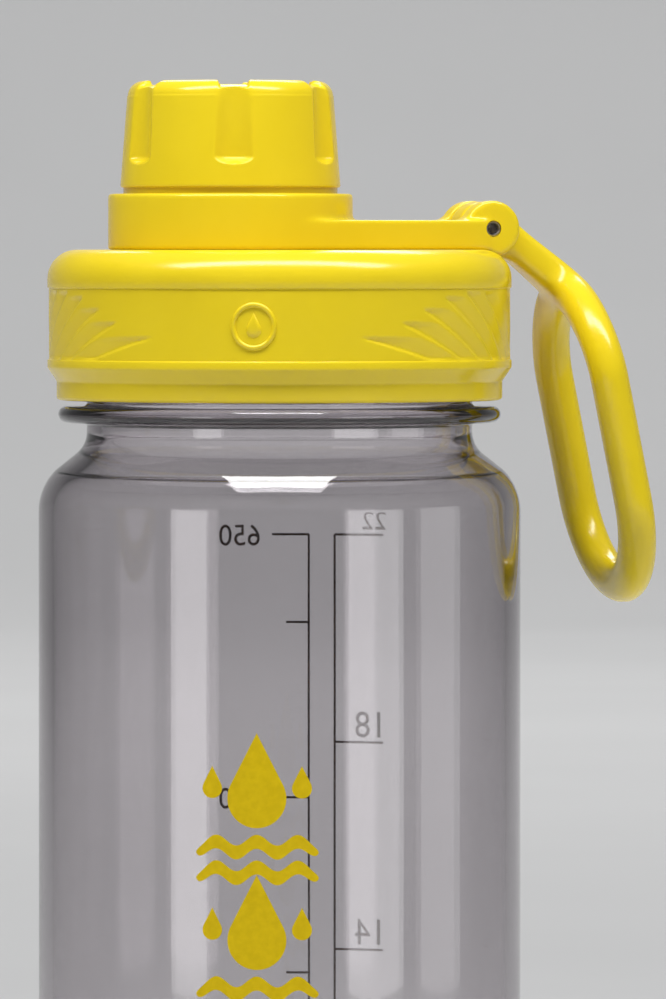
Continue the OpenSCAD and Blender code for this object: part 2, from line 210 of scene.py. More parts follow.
def solid(shape, name="solid"):
    """An object, still in mm, from vertices and faces."""
    verts, faces = shape
    mesh = bpy.data.meshes.new(name)
    mesh.from_pydata([tuple(v) for v in verts], [], faces)
    bm = bmesh.new()
    bm.from_mesh(mesh)
    loose = [v for v in bm.verts if not v.link_faces]
    bmesh.ops.delete(bm, geom=loose, context="VERTS")
    bmesh.ops.recalc_face_normals(bm, faces=bm.faces)
    bm.to_mesh(mesh)
    bm.free()
    obj = bpy.data.objects.new(name, mesh)
    bpy.context.scene.collection.objects.link(obj)
    return obj


def settle(obj):
    """Turns the modifiers into plain mesh."""
    bpy.context.view_layer.update()
    shown = obj.evaluated_get(bpy.context.evaluated_depsgraph_get())
    mesh = bpy.data.meshes.new_from_object(shown)
    obj.modifiers.clear()
    obj.data = mesh


def combine(base, shapes, operation):
    """Joins shapes to a solid, or cuts them out of it."""
    tools = [solid(shape, "tool") for shape in shapes]
    for tool in tools:
        step = base.modifiers.new("step", "BOOLEAN")
        step.operation, step.object, step.solver = operation, tool, "EXACT"
    settle(base)
    for tool in tools:
        bpy.data.objects.remove(tool)


def melt(obj, voxel, rounds, factor=0.5):
    """Makes one moulded skin of a solid: edges and inner corners come out rounded."""
    remesh = obj.modifiers.new("skin", "REMESH")
    remesh.mode, remesh.voxel_size, remesh.adaptivity = "VOXEL", voxel, 0.0
    ease = obj.modifiers.new("ease", "SMOOTH")
    ease.factor, ease.iterations = factor, rounds
    settle(obj)


def fillet(obj, voxel, radius):
    """Fills inner corners with a fillet: the skin swells by the radius and shrinks back."""
    for distance in (radius, -radius):
        swell = obj.modifiers.new("swell", "DISPLACE")
        swell.strength, swell.mid_level = distance, 0.0
        melt(obj, voxel, 4)


def piece(obj, name, body, material, stands_for=(), sharp=35):
    """Brings a solid to metres, shades it, and hangs it on its body."""
    obj.name = obj.data.name = name
    obj.data.transform(Matrix.Scale(MM, 4))
    obj.data.polygons.foreach_set("use_smooth", [True] * len(obj.data.polygons))
    obj.data.set_sharp_from_angle(angle=math.radians(sharp))
    obj.data.materials.clear()
    obj.data.materials.append(material)
    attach(obj, body)
    if stands_for:
        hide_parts(*stands_for)
    return obj


def helix_ridge(z, pitch, out, base, crest, turns):
    """Height of a thread's ridge over its wall, by angle in radians and height in mm."""
    def height(angle, level):
        ridge = np.zeros_like(level)
        for turn in range(math.floor(turns[0]), math.ceil(turns[1]) + 1):
            total = angle / (2 * math.pi) + turn
            inside = np.minimum(total - turns[0], turns[1] - total)
            run_out = np.where(inside >= 0, np.minimum(1, 0.25 + inside * 6), 0)
            off = np.abs(level - z - pitch * total)
            ridge = np.maximum(ridge, run_out * np.clip((base - off) / (base - crest), 0, 1))
        return out * ridge
    return height


# ---------------------------------------------------------------- materials
class Material:
    """A material under construction: its shader, and short ways to add nodes."""

    def __init__(self, name, **values):
        self.data = bpy.data.materials.new(name)
        self.data.use_nodes = True
        self.tree = self.data.node_tree
        self.tree.nodes.clear()
        self.out = self.add("ShaderNodeOutputMaterial")
        self.shader = self.add("ShaderNodeBsdfPrincipled")
        self.link(self.shader.outputs["BSDF"], self.out.inputs["Surface"])
        for socket, value in values.items():
            self.shader.inputs[socket.replace("_", " ")].default_value = value
        self.place = self.add("ShaderNodeTexCoord").outputs["Object"]

    def add(self, kind, **settings):
        node = self.tree.nodes.new(kind)
        for key, value in settings.items():
            setattr(node, key, value)
        return node

    def link(self, source, target):
        self.tree.links.new(source, target)

    def noise(self, scale, detail=3.0, stretch=None):
        """A noise value of about 0.3 to 0.7, by place on the object in metres."""
        node = self.add("ShaderNodeTexNoise")
        node.inputs["Scale"].default_value = scale
        node.inputs["Detail"].default_value = detail
        place = self.place
        if stretch:
            mapping = self.add("ShaderNodeMapping")
            mapping.inputs["Scale"].default_value = stretch
            self.link(place, mapping.inputs["Vector"])
            place = mapping.outputs["Vector"]
        self.link(place, node.inputs["Vector"])
        return node.outputs["Fac"]

    def spread(self, value, low, high):
        """Maps a noise value to a range."""
        node = self.add("ShaderNodeMapRange")
        node.inputs["From Min"].default_value = 0.3
        node.inputs["From Max"].default_value = 0.7
        node.inputs["To Min"].default_value = low
        node.inputs["To Max"].default_value = high
        self.link(value, node.inputs["Value"])
        return node.outputs["Result"]

    def colours(self, value, first, second):
        """Colour between two, by a noise value."""
        node = self.add("ShaderNodeMix", data_type="RGBA")
        for socket in node.inputs:
            if socket.type == "RGBA":
                socket.default_value = (*(first if socket.identifier.startswith("A") else second), 1)
        self.link(value, node.inputs["Factor"])
        self.link(node.outputs[2], self.shader.inputs["Base Color"])
        return node

    def bump(self, value, distance, strength=1.0, under=None):
        node = self.add("ShaderNodeBump")
        node.inputs["Strength"].default_value = strength
        node.inputs["Distance"].default_value = distance
        self.link(value, node.inputs["Height"])
        if under:
            self.link(under.outputs["Normal"], node.inputs["Normal"])
        self.link(node.outputs["Normal"], self.shader.inputs["Normal"])
        return node


def moulded(name, dark, light, rough, grain=0.00002, **values):
    """Injection-moulded plastic: cloudy pigment, uneven gloss, faint flow and a fine grain."""
    made = Material(name, **values)
    made.colours(made.spread(made.noise(38, 4), 0, 1), dark, light)
    made.link(made.spread(made.noise(160, 5), *rough), made.shader.inputs["Roughness"])
    flow = made.bump(made.noise(55, 2), 0.00015, 0.35)
    made.bump(made.noise(2600, 2), grain, 0.5, flow)
    return made.data


YELLOW = moulded("yellow_plastic", (0.81, 0.61, 0.012), (0.87, 0.665, 0.017), (0.16, 0.24), IOR=1.5)
NATURAL = moulded("natural_plastic", (0.80, 0.79, 0.75), (0.87, 0.86, 0.83), (0.36, 0.5))
SILICONE = moulded("silicone", (0.72, 0.73, 0.74), (0.80, 0.81, 0.82), (0.5, 0.62))


def clear_plastic():
    made = Material("clear_body_plastic", Base_Color=(0.97, 0.965, 0.97, 1), Transmission_Weight=1.0,
                    IOR=1.57)
    smoke = made.add("ShaderNodeVolumeAbsorption")
    smoke.inputs["Color"].default_value = (0.46, 0.40, 0.44, 1)
    smoke.inputs["Density"].default_value = 180
    made.link(smoke.outputs["Volume"], made.out.inputs["Volume"])
    made.link(made.spread(made.noise(90, 3), 0.012, 0.03), made.shader.inputs["Roughness"])
    made.bump(made.noise(26, 2, stretch=(1, 1, 0.35)), 0.0004, 0.22)
    return made.data


def ink(name, dark, light):
    made = Material(name, IOR=1.25)
    made.colours(made.spread(made.noise(900, 3), 0, 1), dark, light)
    made.link(made.spread(made.noise(300, 3), 0.4, 0.6), made.shader.inputs["Roughness"])
    made.bump(made.noise(5000, 2), 0.00002, 0.6)
    return made.data


def steel():
    made = Material("pin_steel", Metallic=1.0)
    made.colours(made.spread(made.noise(900, 4, stretch=(1, 0.08, 1)), 0, 1),
                 (0.42, 0.39, 0.36), (0.60, 0.57, 0.53))
    made.link(made.spread(made.noise(1200, 4, stretch=(1, 0.1, 1)), 0.22, 0.4),
              made.shader.inputs["Roughness"])
    return made.data


CLEAR = clear_plastic()
BROWN_INK = ink("scale_ink", (0.11, 0.045, 0.012), (0.15, 0.065, 0.02))
YELLOW_INK = ink("front_ink", (0.66, 0.465, 0.002), (0.74, 0.53, 0.004))
STEEL = steel()


# ---------------------------------------------------------------- camera, stage and lights
CAMERA_AZIMUTH = -16
CAMERA_DISTANCE = 1.5
EYE_Z = 0.2326
TARGET_Z = 0.1933
CAMERA_SHIFT = 0.0081           # how far the camera and its target stand to the right of the axis


def around(azimuth, distance, height):
    """A place at an azimuth from the front, in metres."""
    a = math.radians(azimuth)
    return Vector((math.sin(a) * distance, -math.cos(a) * distance, height))


def make_camera():
    """A long lens, a little round from the front towards the side away from the hinge."""
    data = bpy.data.cameras.new("camera")
    data.lens, data.sensor_width, data.clip_end = 357, 36, 50
    camera = bpy.data.objects.new("camera", data)
    bpy.context.scene.collection.objects.link(camera)
    a = math.radians(CAMERA_AZIMUTH)
    right = Vector((math.cos(a), math.sin(a), 0))
    camera.location = around(CAMERA_AZIMUTH, CAMERA_DISTANCE, EYE_Z) + right * CAMERA_SHIFT
    target = Vector((0, 0, TARGET_Z)) + right * CAMERA_SHIFT
    camera.rotation_euler = (target - camera.location).to_track_quat("-Z", "Y").to_euler()
    bpy.context.scene.camera = camera


def make_stage():
    """A round studio: a pale floor that turns up into a wall."""
    floor_r, wall_r, wall_h = 4500, 6000, 5200
    sweep = wall_r - floor_r
    outline = ([(0, -0.5)] + line((200, -0.5), (floor_r, -0.5), 600)
               + arc((floor_r, sweep - 0.5), sweep, -80, 0, 12) + [(wall_r, wall_h)])
    outline += [(wall_r + 50, wall_h), (wall_r + 50, -50), (0, -50)]
    stage = solid(revolve(outline, 96), "studio")
    stage.data.transform(Matrix.Scale(MM, 4))
    stage.data.polygons.foreach_set("use_smooth", [True] * len(stage.data.polygons))
    made = Material("studio_paper", Roughness=0.9)
    made.colours(made.spread(made.noise(3, 3), 0, 1), (0.59, 0.59, 0.59), (0.61, 0.61, 0.61))
    stage.data.materials.append(made.data)


def softbox(name, azimuth, distance, height, width, tall, radiance, aim=(0, 0, 0.17), only=None):
    """A flat light that faces the bottle or another place; the camera doesn't see it.
    only: a collection of the pieces it lights, or None for all."""
    data = bpy.data.lights.new(name, "AREA")
    data.shape, data.size, data.size_y = "RECTANGLE", width, tall
    data.energy = radiance * math.pi * width * tall
    light = bpy.data.objects.new(name, data)
    light.location = around(azimuth + CAMERA_AZIMUTH, distance, height)
    light.rotation_euler = (Vector(aim) - light.location).to_track_quat("-Z", "Y").to_euler()
    light.visible_camera = False
    light.light_linking.receiver_collection = only
    bpy.context.scene.collection.objects.link(light)


def make_lights():
    """Side and top boxes shine on the clear body and the studio alone, so that they lay no pale
    bands on the yellow moulding, which has a key light of its own."""
    world = bpy.data.worlds.new("studio_air")
    world.use_nodes = True
    world.node_tree.nodes["Background"].inputs["Color"].default_value = (0.95, 0.97, 1, 1)
    world.node_tree.nodes["Background"].inputs["Strength"].default_value = 0.22
    bpy.context.scene.world = world
    glass = bpy.data.collections.new("glass_and_paper")
    for name in ("clear_body", "studio"):
        glass.objects.link(bpy.data.objects[name])
    moulding = bpy.data.collections.new("moulding")
    for obj in bpy.data.objects:
        if obj.type == "MESH" and obj.name not in glass.objects:
            moulding.objects.link(obj)
    softbox("top_light", 0, 0.45, 1.75, 0.95, 0.9, 15, only=glass)
    softbox("key_light", 0, 0.22, 0.72, 0.95, 0.15, 12.5, only=moulding)
    softbox("left_light", -43, 1.6, 0.22, 0.5, 0.6, 2.2, only=glass)
    softbox("right_light", 47, 1.6, 0.22, 0.8, 0.6, 2.2, only=glass)
    softbox("side_light", 83, 1.6, 0.22, 0.7, 0.6, 1.3, only=glass)
    floor_spot = around(CAMERA_AZIMUTH + 175, 3.5, 0)
    softbox("floor_light", 180, 3.4, 2.6, 2.4, 1.6, 5.2, aim=floor_spot)


# ---------------------------------------------------------------- bottle
def dome_r(rise):
    reach = STAND_R - STAND_W
    return (reach ** 2 + rise ** 2) / (2 * rise)


def make_body():
    """The clear body with its wall: outside from the push-up to the lip, then back down inside."""
    dome = dome_r(PUSHUP_H)
    spread = math.degrees(math.asin((STAND_R - STAND_W) / dome))
    ring_mid = sum(RING_Z) / 2
    outside = (
        arc((0, PUSHUP_H - dome), dome, 90, 90 - spread, 24)
        + arc((STAND_R, HEEL_R), HEEL_R, -90, 0, 20)
        + line((BODY_R, HEEL_R + 4), (BODY_R, SHOULDER_Z - 2), 6)
        + arc((BODY_R - SHOULDER_R, SHOULDER_Z + 0.5), SHOULDER_R, 0, SHOULDER_SWEEP, 16)
        + arc((NECK_R + NECK_FILLET_R, NECK_FOOT_Z + 0.1), NECK_FILLET_R, 230, 180, 12)
        + [(NECK_R, RING_Z[0] - 0.5)]
        + arc((NECK_R + 0.5, RING_Z[0] - 0.5), 0.5, 180, 90, 4)
        + arc((RING_R - RING_EDGE_R, ring_mid), RING_EDGE_R, -90, 90, 12)
        + arc((NECK_R + 0.5, RING_Z[1] + 0.5), 0.5, 270, 180, 4)
        + line((NECK_R, RING_Z[1] + 1.5), (NECK_R, LIP_Z - 1), 0.25)
        + arc((NECK_R - 0.8, LIP_Z - 0.8), 0.8, 0, 90, 5))
    neck_in_r = NECK_R - NECK_WALL
    body_in_r = BODY_R - BODY_WALL
    heel_in_r = HEEL_R - BODY_WALL
    dome_in = dome + FLOOR_T
    spread_in = math.degrees(math.asin((STAND_R - 1) / dome_in))
    inside = (
        arc((neck_in_r + 0.5, LIP_Z - 0.5), 0.5, 90, 180, 4)
        + [(neck_in_r, 212)]
        + arc((neck_in_r + NECK_FILLET_R, NECK_FOOT_Z - 1.4), NECK_FILLET_R, 180, 228, 12)
        + arc((BODY_R - SHOULDER_R, SHOULDER_Z + 0.5), SHOULDER_R - BODY_WALL, SHOULDER_SWEEP, 0, 16)
        + line((body_in_r, SHOULDER_Z - 2), (body_in_r, 18), 6)
        + arc((body_in_r - heel_in_r, FLOOR_T + 1 + heel_in_r), heel_in_r, 0, -90, 16)
        + arc((0, PUSHUP_H + FLOOR_T - dome_in), dome_in, 90 - spread_in, 90, 24))
    ridge = helix_ridge(**NECK_THREAD)

    def thread(angle, radius, level):
        outer_neck = (abs(radius - NECK_R) < 0.01) & (level > RING_Z[1] + 1)
        return radius + np.where(outer_neck, ridge(angle, level), 0)

    obj = solid(revolve(outside + inside, 288, thread))
    piece(obj, "clear_body", "bottle", CLEAR, ["bottle_body"], sharp=60)


def on_body(drawing, angle, height=0.0, radius=BODY_R + INK_T):
    """Wraps a flat drawing (mm) on the body: x runs round from an angle, y runs up, z stands out."""
    turn = math.radians(angle) + drawing[:, 0] / BODY_R
    out = radius + drawing[:, 2]
    return np.stack([out * np.cos(turn), out * np.sin(turn), drawing[:, 1] + height], -1)


def make_label(number, angle, height, size):
    """A number of the volume scale, in the built-in typeface, that reads right from outside."""
    curve = bpy.data.curves.new("number", "FONT")
    curve.body, curve.size, curve.extrude = number, size / DIGIT_H, INK_T / 4
    writing = bpy.data.objects.new("number", curve)
    bpy.context.scene.collection.objects.link(writing)
    bpy.context.view_layer.update()
    shown = writing.evaluated_get(bpy.context.evaluated_depsgraph_get())
    mesh = bpy.data.meshes.new_from_object(shown)
    bpy.data.objects.remove(writing)
    bm = bmesh.new()
    bm.from_mesh(mesh)
    column_w = 0.4              # narrow enough for a flat face to follow the body
    for x in np.arange(column_w / 2, size * len(number), column_w):
        everything = bm.verts[:] + bm.edges[:] + bm.faces[:]
        bmesh.ops.bisect_plane(bm, geom=everything, plane_co=(x, 0, 0), plane_no=(1, 0, 0))
    bm.to_mesh(mesh)
    bm.free()
    flat = np.array([v.co for v in mesh.vertices])
    faces = [list(p.vertices) for p in mesh.polygons]
    return solid((on_body(flat, angle, height, BODY_R + INK_T * 0.75), faces))


def join(objects):
    """One object from several."""
    verts, faces, base = [], [], 0
    for obj in objects:
        verts += [tuple(v.co) for v in obj.data.vertices]
        faces += [[base + i for i in p.vertices] for p in obj.data.polygons]
        base = len(verts)
        bpy.data.objects.remove(obj)
    return solid((np.array(verts), faces))


def make_prints():
    """The numbers of both scales, and the ink of the CAD's own lines."""
    ml_start, ml_drop, ml_size = ML_ANGLE + 12.3, 1.7, 3.4
    oz_start, oz_lift, oz_top_size, oz_size = OZ_ANGLE - 13 - 1.3, 0.8, 3.3, 4.2

    def level(ml):
        return FULL_Z - (FULL_ML - ml) * Z_PER_ML

    ml_labels = [make_label(str(ml), ml_start, level(ml) - ml_drop, ml_size)
                 for ml in (650, 500, 300, 100)]
    oz_labels = [make_label(str(oz), oz_start, level(oz * FULL_ML / FULL_OZ) + oz_lift,
                            oz_top_size if oz == FULL_OZ else oz_size)
                 for oz in (22, 18, 14, 10, 6)]
    piece(join(ml_labels), "ml_numbers", "bottle", BROWN_INK)
    piece(join(oz_labels), "oz_numbers", "bottle", BROWN_INK)
    for node in ("ml_scale_print", "oz_scale_print"):
        finish_node(node, BROWN_INK)


def finish_node(node, material):
    """Gives a CAD node that stays its material."""
    mesh = nodes[node].data
    mesh.materials.clear()
    mesh.materials.append(material)


def drop_drawing(radius, steps=28):
    """Outline of a water drop: a round end at the origin and a tip above."""
    side = math.degrees(math.asin(1 / DROP_TIP))
    return arc((0, 0), radius, 180 - side, 360 + side, steps) + [(0, DROP_TIP * radius)]


def printed_strip(across, low, high, height):
    """A patch of ink on the front, from its lower and upper edge at each place across."""
    rings = []
    for x, a, b in zip(across, low, high):
        section = np.array([(x, a, 0), (x, b, 0), (x, b, INK_T), (x, a, INK_T)])
        rings.append(on_body(section, MOTIF_ANGLE, height, BODY_R))
    return solid(loft(rings))


def printed_drop(radius, height):
    """A water drop of ink on the front, its round end centred at a height."""
    across = radius * np.sin(np.linspace(-math.pi / 2, math.pi / 2, 45)) * 0.999
    low = -np.sqrt(radius ** 2 - across ** 2)
    touch_x = radius * math.sqrt(1 - 1 / DROP_TIP ** 2)
    side = DROP_TIP * radius - np.abs(across) * math.sqrt(DROP_TIP ** 2 - 1)
    high = np.where(np.abs(across) < touch_x, side, -low)
    return printed_strip(across, low, high, height)


def make_motif():
    """Water drops between pairs of waves, down the front."""
    first_z, step, half_w, wave, drop_r = 150, 21, 9.2, 6.1, 4.4
    small_x, small_r, small_lift, wave_drops = 6.7, 1.5, 1.5, (-7.2, -11.0)
    across = np.linspace(-half_w, half_w, 73) * 0.999
    objects = []
    for i in range(6):
        height = first_z - i * step
        objects.append(printed_drop(drop_r, height))
        for x in (-small_x, small_x):
            small = printed_drop(small_r, height + small_lift)
            small.data.transform(Matrix.Rotation(x / BODY_R, 4, "Z"))
            objects.append(small)
        for level in wave_drops:
            middle = 0.8 * np.cos(across * 2 * math.pi / wave)
            half_t = 1.05 * np.clip(1 - (across / half_w) ** 8, 0.02, 1) ** 0.5
            objects.append(printed_strip(across, middle - half_t, middle + half_t, height + level))
    piece(join(objects), "front_motif", "bottle", YELLOW_INK, ["front_print"])


# ---------------------------------------------------------------- lid
GROOVES = [(48, 3), (58.3, 5.2), (66, 7.2), (73.6, 9), (80.5, 9.8), (86.5, 9.8)]
GROOVE_FOOT_Z = 214.9
GROOVE_W = 2.8                  # from the steep side to where the groove runs out
GROOVE_DEPTH = 0.42
GROOVE_POLE = 33.7
GROOVE_LEAN = 89


def groove_angle(foot, rise):
    """Degrees from the panel's middle to a groove, at a rise above its foot."""
    return foot - GROOVE_LEAN / (foot - GROOVE_POLE) * rise * (0.88 + 0.016 * rise)


def groove_relief(angle, radius, level):
    """Cuts the fans of grip grooves into the lid's band."""
    degrees = np.degrees(angle)
    mm_per_degree = math.pi / 180 * LID_R
    depth = np.zeros_like(radius)
    rise = np.clip(level - GROOVE_FOOT_Z, 0, None)
    for panel in (PANEL_ANGLE, PANEL_ANGLE + 180):
        for side in (-1, 1):
            for foot, top in GROOVES:
                middle = panel + side * groove_angle(foot, rise)
                off = (degrees - middle + 180) % 360 - 180
                turn = groove_angle(foot, rise + 0.5) - groove_angle(foot, rise - 0.5)
                lean = turn * mm_per_degree
                out = off * side * mm_per_degree / np.sqrt(1 + lean ** 2) + GROOVE_W / 4
                profile = smooth_step(out / 0.5) * np.clip(1 - out / GROOVE_W, 0, 1)
                foot_end = smooth_step((level - GROOVE_FOOT_Z + 0.4) / 0.6)
                top_end = smooth_step((top - rise) / 0.8 + 0.5)
                depth = np.maximum(depth, GROOVE_DEPTH * profile * foot_end * top_end)
    outer = radius > LID_R - 1
    return radius - np.where(outer, depth, 0)


def make_lid():
    """The yellow lid shell: skirt, chamfer, grooved band and rounded rim, open below."""
    step_r, chamfer_z0, chamfer_z1 = 0.22, 211.0, 213.5
    band_low, band_high = BAND_Z
    outline = (
        [(SHELL_IN_R, LID_Z0 + 0.3), (SHELL_IN_R + 0.3, LID_Z0)]
        + arc((SKIRT_R - 0.5, LID_Z0 + 0.5), 0.5, -90, 0, 4)
        + [(SKIRT_R, chamfer_z0)]
        + arc((SKIRT_R + 0.5, chamfer_z0 + 0.1), 0.5, 180, 143, 3)[1:]
        + arc((LID_R - 0.5, chamfer_z1), 0.5, -37, 0, 3)
        + [(LID_R, band_low - 0.25), (LID_R - 0.05, band_low - 0.12), (LID_R - step_r, band_low)]
        + line((LID_R - step_r, band_low + 0.15), (LID_R - step_r, band_high - 0.15), 0.24)
        + [(LID_R - step_r, band_high), (LID_R - 0.05, band_high + 0.1), (LID_R, band_high + 0.22)]
        + arc((LID_R - RIM_R, DECK_Z - RIM_R), RIM_R, 0, 90, 18)
        + line((LID_R - RIM_R - 2, DECK_Z), (4, DECK_Z), 3) + [(0, DECK_Z), (0, DECK_Z - DECK_T)]
        + line((4, DECK_Z - DECK_T), (SHELL_IN_R - 1, DECK_Z - DECK_T), 4)
        + arc((SHELL_IN_R - 0.05, DECK_Z - DECK_T - 0.05), 0.05, 90, 0, 1))
    obj = solid(revolve(outline, 720, groove_relief))
    hole = cylinder(COLLAR_BORE_R, DECK_Z - DECK_T - 1, DECK_Z + 1, (SPOUT_X, 0))
    notch = cylinder(BARREL_R + 0.33, -BARREL_HALF_W - 0.35, BARREL_HALF_W + 0.35,
                     (HINGE.x, HINGE.z), "xzy")
    combine(obj, [hole, notch], "DIFFERENCE")
    piece(obj, "lid_cover", "lid", YELLOW, ["lid_shell"], sharp=28)


def make_emblem():
    """A raised ring round a water drop, on both grip panels."""
    ring_r, ring_w, rise, z = 3.2, 0.42, 0.32, 219.8
    base_r = LID_R - 0.3
    objects = []
    for panel in (PANEL_ANGLE, PANEL_ANGLE + 180):
        rings = []
        for turn in np.linspace(0, 2 * math.pi, 72, endpoint=False):
            section = [(ring_r + ring_w * math.cos(a), (rise + 0.1) * math.sin(a))
                       for a in np.linspace(0, 2 * math.pi, 14, endpoint=False)]
            rings.append(np.array([(r * math.cos(turn), r * math.sin(turn), h) for r, h in section]))
        verts, faces = loft(rings, closed=True)
        objects.append(solid((on_body(verts, panel, z, base_r), faces)))
        outline = np.array(drop_drawing(1.2)) - (0, 0.5)
        layers = [np.c_[outline * scale, np.full(len(outline), height)]
                  for scale, height in ((1, -0.1), (1, 0.1), (0.86, 0.24), (0.6, 0.31), (0.25, 0.34))]
        objects.append(solid(loft([on_body(layer, panel, z, base_r) for layer in layers])))
    piece(join(objects), "lid_emblem", "lid", YELLOW, sharp=50)


def arm_plan(half_w, radius, span):
    """Plan of the arm: its sides run at a tangent from the collar to the barrel's width."""
    lean = math.asin((radius - half_w) / span)
    corner = (radius * math.sin(lean), radius * math.cos(lean))
    rooted = arc((0, 0), COLLAR_BORE_R + 3, -50, 50, 12)
    outline = [corner, (span, half_w), (span, -half_w), (corner[0], -corner[1])] + rooted
    return [(x + SPOUT_X, y) for x, y in outline]


def make_arm():
    """The collar round the spout, with its arm out to the two hinge lugs."""
    fillet_r, edge_r, recess_r, web_z = 2.2, 0.45, 16.6, 238.5
    rise = ARM_TOP_Z - HINGE.z + fillet_r
    reach = math.sqrt((BARREL_R + fillet_r) ** 2 - rise ** 2)
    touch = math.degrees(math.atan2(rise, -reach))
    lugs = (
        [(HINGE.x - reach - 0.5, DECK_Z + 0.3), (HINGE.x - reach - 0.5, ARM_TOP_Z - 0.05)]
        + arc((HINGE.x - reach, ARM_TOP_Z + fillet_r), fillet_r, -90, touch - 180, 8)
        + arc((HINGE.x, HINGE.z), BARREL_R, touch, -80, 32)[1:])
    slot = arc((HINGE.x, HINGE.z), SLOT_R, 90, 270, 40) + [
        (HINGE.x + 10, HINGE.z - SLOT_R), (HINGE.x + 10, HINGE.z + SLOT_R)]
    collar = ([(COLLAR_BORE_R, DECK_Z), (COLLAR_R, DECK_Z), (COLLAR_R, COLLAR_TOP_Z - edge_r)]
              + arc((COLLAR_R - edge_r, COLLAR_TOP_Z - edge_r), edge_r, 0, 90, 4)
              + [(recess_r, COLLAR_TOP_Z), (recess_r, web_z), (COLLAR_BORE_R, web_z)])
    obj = solid(revolve(collar, 192, centre_x=SPOUT_X))
    plan = arm_plan(BARREL_HALF_W, COLLAR_R, HINGE.x - SPOUT_X)
    combine(obj, [prism(plan, DECK_Z + 0.01, ARM_TOP_Z)], "UNION")
    combine(obj, [prism(lugs, -BARREL_HALF_W, BARREL_HALF_W, "xzy")], "UNION")
    combine(obj, [prism(slot, -SLOT_HALF_W, SLOT_HALF_W, "xzy")], "DIFFERENCE")
    melt(obj, 0.3, 7)
    combine(obj, [cylinder(PIN_R, -BARREL_HALF_W - 1, BARREL_HALF_W + 1, (HINGE.x, HINGE.z), "xzy", 48)],
            "DIFFERENCE")
    piece(obj, "hinge_arm", "lid", YELLOW, ["carry_arm"], sharp=50)


def make_pin():
    """The rolled steel pin, with eased ends and a bore."""
    half, bore, ease, deep = BARREL_HALF_W - 0.1, 0.78, 0.2, 3.5
    outline = [(0, -half + deep), (bore, -half + deep), (bore, -half + ease), (bore + ease * 0.7, -half),
               (PIN_R - ease, -half), (PIN_R, -half + ease), (PIN_R, half - ease), (PIN_R - ease, half),
               (bore + ease * 0.7, half), (bore, half - ease), (bore, half - deep), (0, half - deep)]
    verts, faces = revolve(outline, 64)
    verts = verts[:, [0, 2, 1]] + np.array(HINGE)
    piece(solid((verts, faces)), "loop_pin", "lid", STEEL, ["hinge_pin"], sharp=30)


# ---------------------------------------------------------------- loop
LOOP_TOP, LOOP_BOTTOM = -9.5, -53.9
LOOP_TOP_X = 13.6
LOOP_SLOPE = math.radians(11.4)
ARCH_RISE = 13
UPPER_POWER = 1.75              # roundness of the upper arch: 2 is an ellipse, less is more pointed
LEG_HALF_GAP = 14.1
BAR_T, BAR_W = 5.8, 6.6
NECK_ANGLE = math.radians(41.6)
NECK_UNDER, NECK_OVER, NECK_LENGTH = 0.6, 4.2, 17
NECK_RISE, NECK_FLARE = 0.75, 1.0
KNUCKLE_R, KNUCKLE_HALF_W = 4.2, 3.1


def loop_point(turn):
    """A point on the middle of the loop's bar, by a turn of 0 to 2 pi from the top."""
    share = turn / math.pi if turn <= math.pi else 2 - turn / math.pi
    straight = LOOP_TOP - LOOP_BOTTOM - 2 * ARCH_RISE
    if share < 1 / 3:
        a = share * 3 * math.pi / 2
        z = LOOP_TOP - ARCH_RISE * (1 - math.cos(a))
        y = (1 - math.cos(a) ** UPPER_POWER) ** (1 / UPPER_POWER)
    elif share > 2 / 3:
        a = (1 - share) * 3 * math.pi / 2
        z, y = LOOP_BOTTOM + ARCH_RISE * (1 - math.cos(a)), math.sin(a)
    else:
        z, y = LOOP_TOP - ARCH_RISE - straight * (share * 3 - 1), 1
    x = LOOP_TOP_X + (LOOP_TOP - z) * math.tan(LOOP_SLOPE)
    return np.array([x, LEG_HALF_GAP * y * (1 if turn <= math.pi else -1), z])


